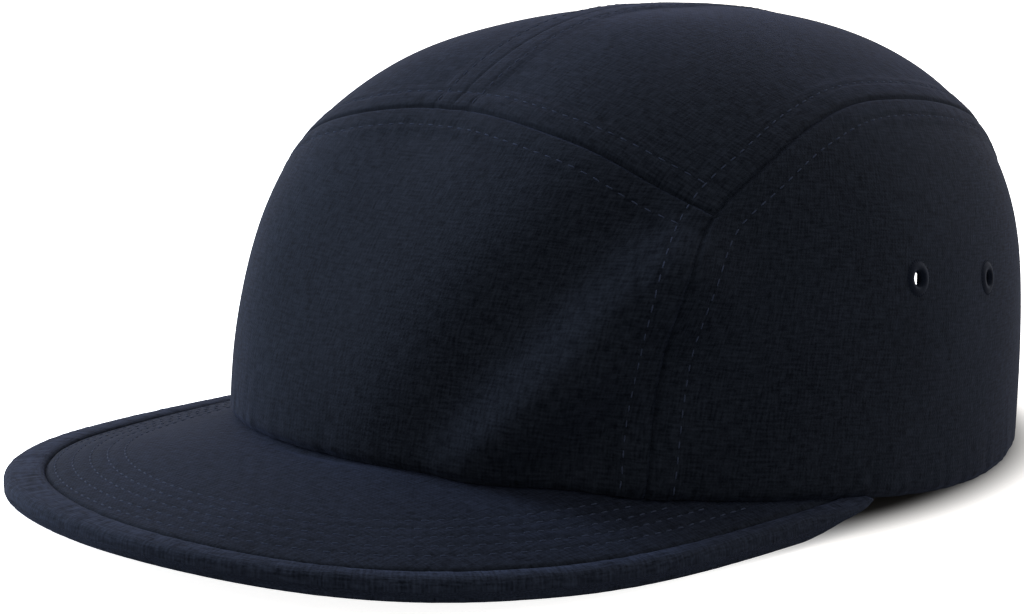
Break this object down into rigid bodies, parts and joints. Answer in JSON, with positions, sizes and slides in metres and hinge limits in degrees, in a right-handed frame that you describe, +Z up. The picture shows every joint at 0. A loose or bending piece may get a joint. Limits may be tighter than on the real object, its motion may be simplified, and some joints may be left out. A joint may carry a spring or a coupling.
{
  "type": "five panel cap",
  "caption": "Soft low cloth cap of five sewn panels, with a curved brim that has a bound edge, thread eyelets at the sides and a strap with a slide across the back opening.",
  "frame": {"origin": "under the middle of the cap's length and width, on the plane that it stands on", "axes": "+X to the wearer's left, -Y to the front where the brim is, +Z up"},
  "size_m": [0.164, 0.2544, 0.0995],
  "materials": {
    "panel_cloth": "plain woven cotton, navy black, matte",
    "brim_cloth": "plain woven cotton over a stiff board, matte",
    "eyelet_thread": "close wound thread, soft sheen",
    "strap_webbing": "woven tape, matte",
    "slide_plastic": "moulded, satin"
  },
  "bodies": {
    "root": {"front_panel": "panel_cloth", "top_panel_left": "panel_cloth", "top_panel_right": "panel_cloth", "side_panel_left": "panel_cloth", "side_panel_right": "panel_cloth", "brim": "brim_cloth", "brim_binding": "brim_cloth", "eyelet_left_front": "eyelet_thread", "eyelet_left_back": "eyelet_thread", "eyelet_right_front": "eyelet_thread", "eyelet_right_back": "eyelet_thread", "strap_left": "strap_webbing", "strap_right": "strap_webbing", "slide": "slide_plastic"}
  },
  "joints": []
}
